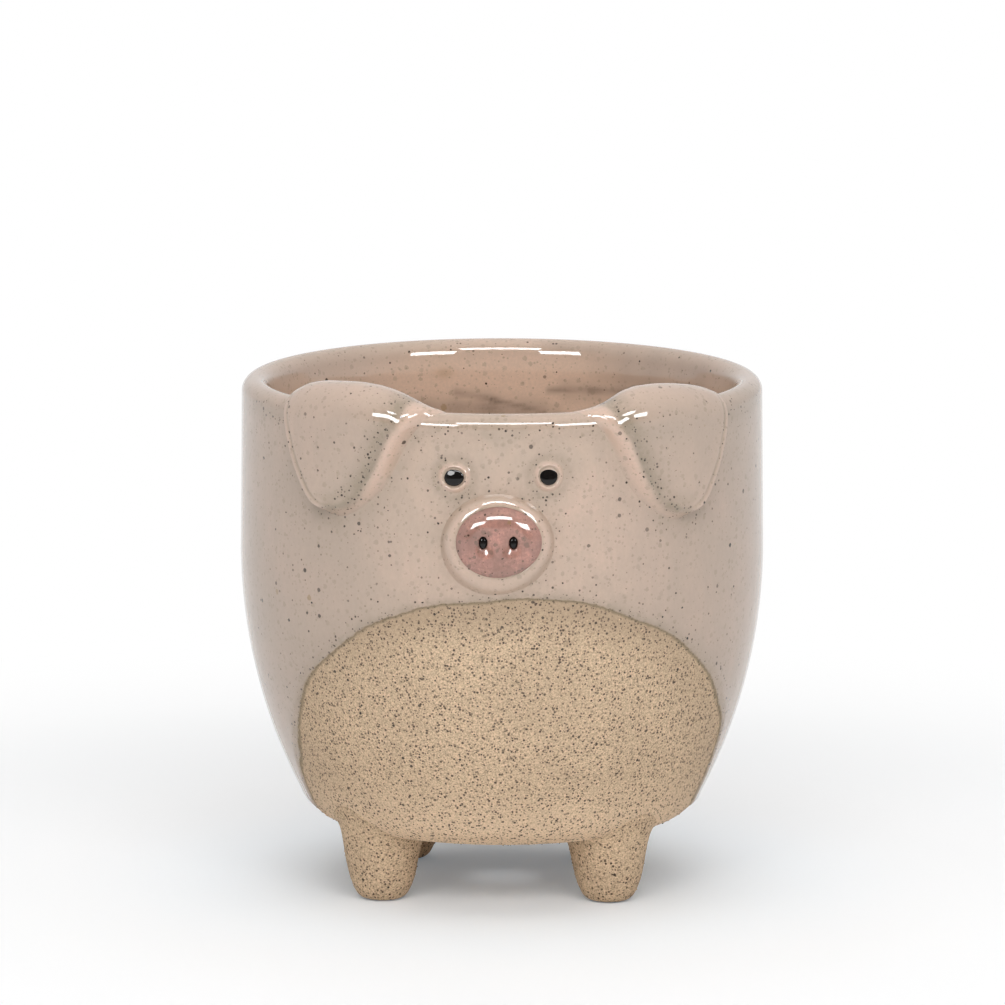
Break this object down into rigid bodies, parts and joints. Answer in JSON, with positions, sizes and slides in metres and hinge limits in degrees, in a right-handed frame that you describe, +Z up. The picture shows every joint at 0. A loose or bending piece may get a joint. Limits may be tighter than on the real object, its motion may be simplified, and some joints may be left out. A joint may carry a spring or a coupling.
{
  "type": "plant pot",
  "caption": "Round pig-shaped stoneware plant pot on short tapered feet, with ears draped over the rim, a raised snout and a bare belly patch.",
  "frame": {"origin": "middle of the planter's footprint box, on the surface that its feet stand on", "axes": "+Z up, the pig's face towards -Y, +X to the right as seen from the front"},
  "size_m": [0.12, 0.1292, 0.1226],
  "materials": {
    "glaze": "glossy pinkish speckled glaze",
    "snout_glaze": "glossy darker pink speckled glaze",
    "black_glaze": "glossy black",
    "bare_clay": "unglazed buff stoneware with iron specks"
  },
  "bodies": {
    "root": {"pot_body": "glaze", "ear_left": "glaze", "ear_right": "glaze", "muzzle_ring": "glaze", "snout_disc": "snout_glaze", "nostril_left": "black_glaze", "nostril_right": "black_glaze", "eye_left": "black_glaze", "eye_right": "black_glaze", "eye_ring_left": "glaze", "eye_ring_right": "glaze", "tail": "glaze", "foot_front_left": "bare_clay", "foot_front_right": "bare_clay", "foot_rear_left": "bare_clay", "foot_rear_right": "bare_clay"}
  },
  "joints": []
}
